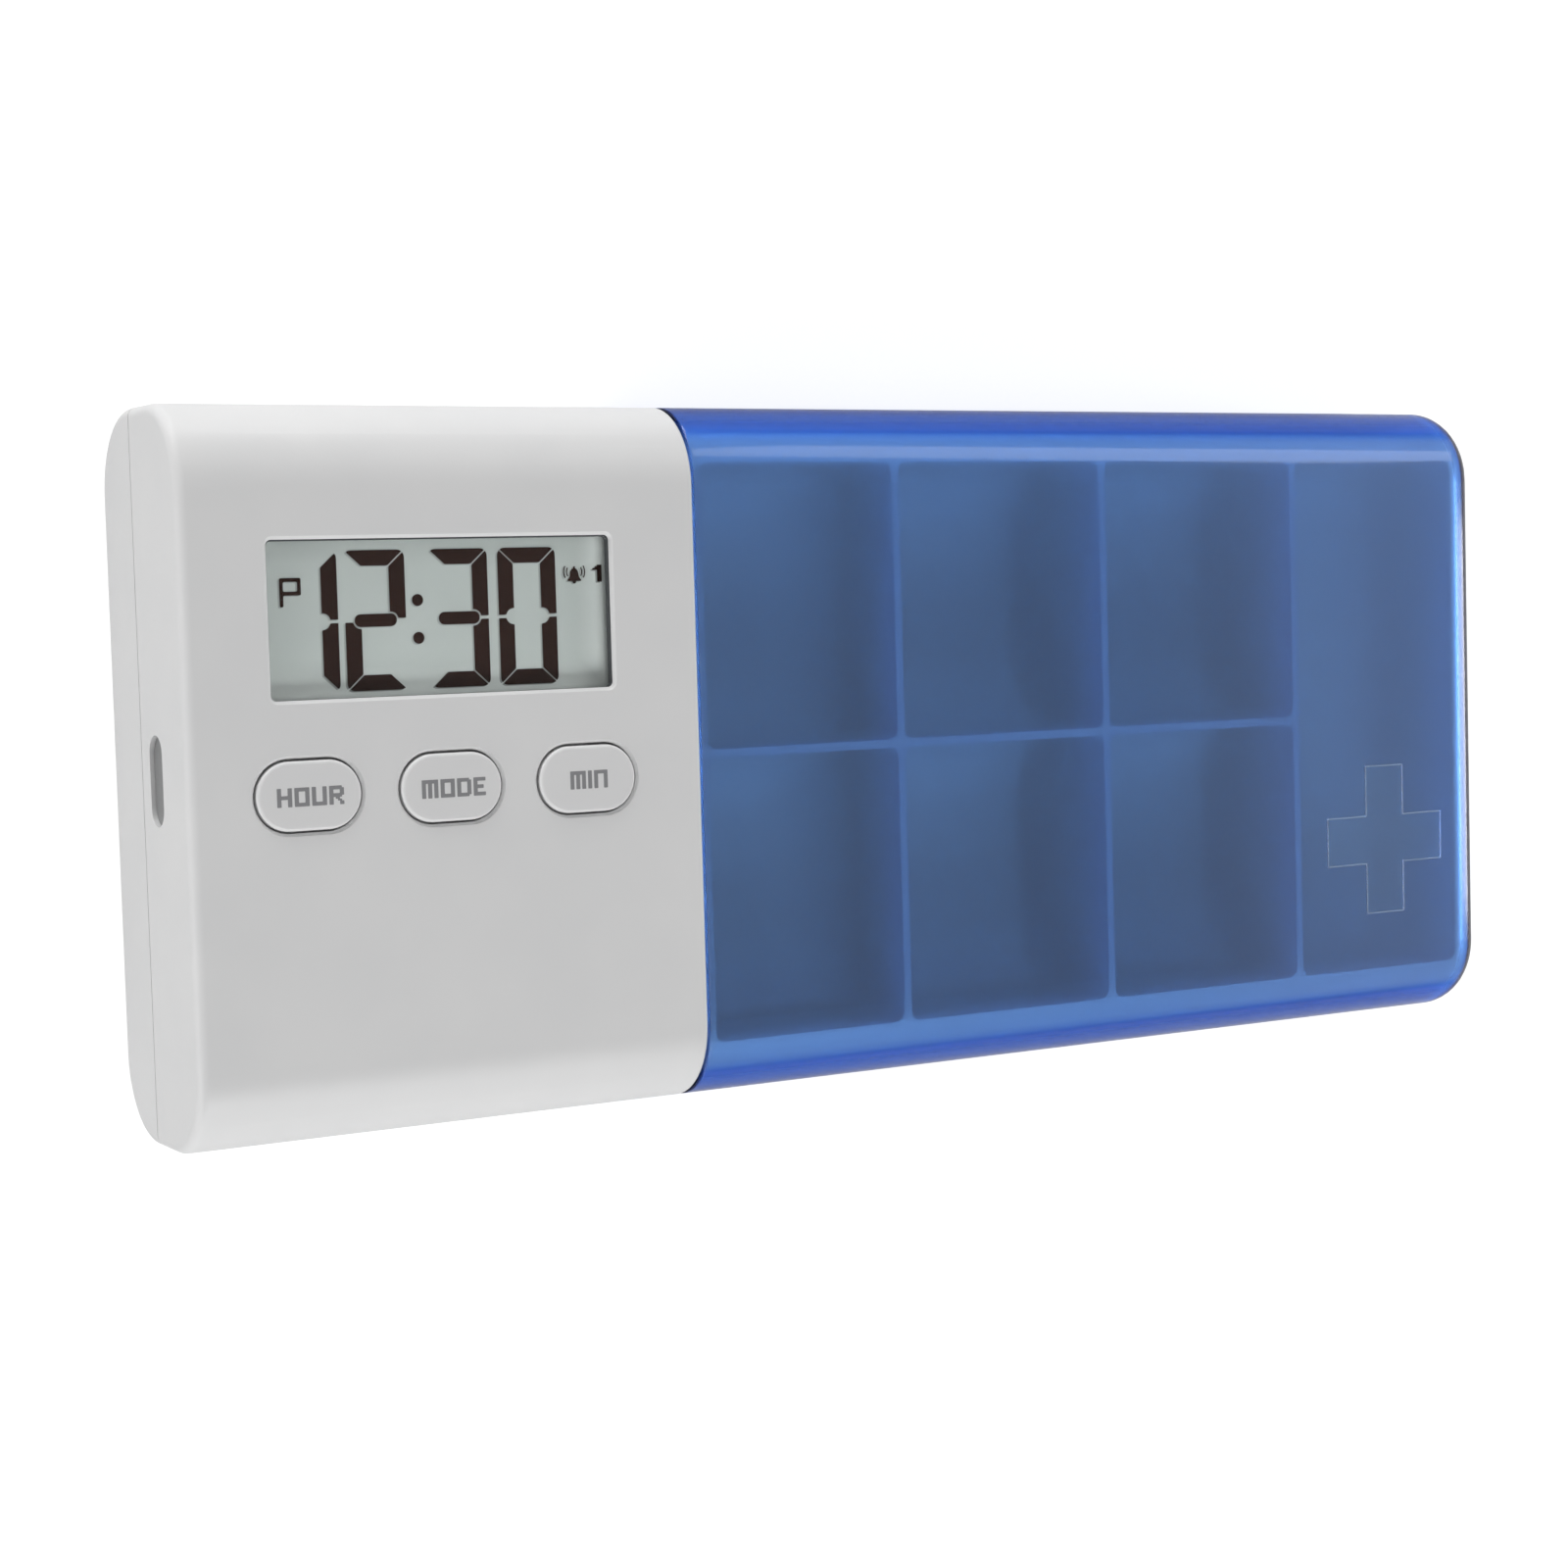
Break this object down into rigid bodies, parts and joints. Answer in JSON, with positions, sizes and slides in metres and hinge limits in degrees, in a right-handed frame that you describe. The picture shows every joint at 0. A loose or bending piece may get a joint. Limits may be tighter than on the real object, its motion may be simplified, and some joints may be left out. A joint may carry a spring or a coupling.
{
  "type": "electronic pill box",
  "caption": "Flat pill organiser with a clock and alarm unit at one end, a tray of open compartments and a translucent sleeve that slides over the tray.",
  "frame": {"origin": "centre of the box's outline, at the plane of its back, on which it lies", "axes": "+X along the box from the clock unit to the sleeve's closed end, +Y across it towards the display's top, +Z out of the display's face"},
  "size_m": [0.146, 0.065, 0.0202],
  "materials": {
    "casing": "fine satin moulding",
    "button": "satin moulding with printed word",
    "blue_sleeve": "clear tinted, smooth",
    "frosted_tray": "softly frosted, uncoloured",
    "clear_pane": "clear",
    "display_glass": "grey-green reflective display",
    "black_plastic": "moulded",
    "contact_rubber": "layered",
    "board": "coated laminate",
    "resin": "poured drop",
    "can_steel": "drawn can",
    "chip_ceramic": "sintered",
    "plunger": "moulded",
    "grey_lens": "smoked",
    "led_resin": "tinted resin",
    "sounder_brass": "stamped sheet",
    "lead_skin": "insulated wire",
    "cell_jacket": "printed jacket, plain",
    "contact_metal": "nickel-plated sheet",
    "screw_steel": "zinc-plated"
  },
  "bodies": {
    "clock_unit": {"front_shell": "casing", "back_shell": "casing", "pill_tray": "frosted_tray", "lcd_window": "clear_pane", "lcd_panel": "display_glass", "lcd_holder": "black_plastic", "upper_contact_strip": "contact_rubber", "lower_contact_strip": "contact_rubber", "circuit_board": "board", "controller_chip": "resin", "clock_crystal": "can_steel", "chip_components": "chip_ceramic", "hour_switch": "black_plastic", "mode_switch": "black_plastic", "min_switch": "black_plastic", "lamp_lens": "grey_lens", "alarm_led": "led_resin", "buzzer_plate": "sounder_brass", "buzzer_ceramic": "chip_ceramic", "buzzer_leads": "lead_skin", "left_battery": "cell_jacket", "right_battery": "cell_jacket", "bridge_contact": "contact_metal", "positive_contact": "contact_metal", "negative_contact": "contact_metal", "shell_screws": "screw_steel", "board_screws": "screw_steel"},
    "sleeve": {"slide_cover": "blue_sleeve"},
    "hour_key": {"hour_button": "button", "hour_plunger": "plunger"},
    "mode_key": {"mode_button": "button", "mode_plunger": "plunger"},
    "min_key": {"min_button": "button", "min_plunger": "plunger"},
    "door": {"battery_door": "casing"}
  },
  "joints": [
    {"name": "cover_slide", "type": "slide", "parent": "clock_unit", "child": "sleeve", "axis": [1, 0, 0], "range_m": [0, 0.096]},
    {"name": "hour_press", "type": "slide", "parent": "clock_unit", "child": "hour_key", "axis": [0, 0, -1], "range_m": [0, 0.0004], "stiffness_N_per_m": 3500},
    {"name": "mode_press", "type": "slide", "parent": "clock_unit", "child": "mode_key", "axis": [0, 0, -1], "range_m": [0, 0.0004], "stiffness_N_per_m": 3500},
    {"name": "min_press", "type": "slide", "parent": "clock_unit", "child": "min_key", "axis": [0, 0, -1], "range_m": [0, 0.0004], "stiffness_N_per_m": 3500},
    {"name": "door_slide", "type": "slide", "parent": "clock_unit", "child": "door", "axis": [0, -1, 0], "range_m": [0, 0.049]}
  ]
}
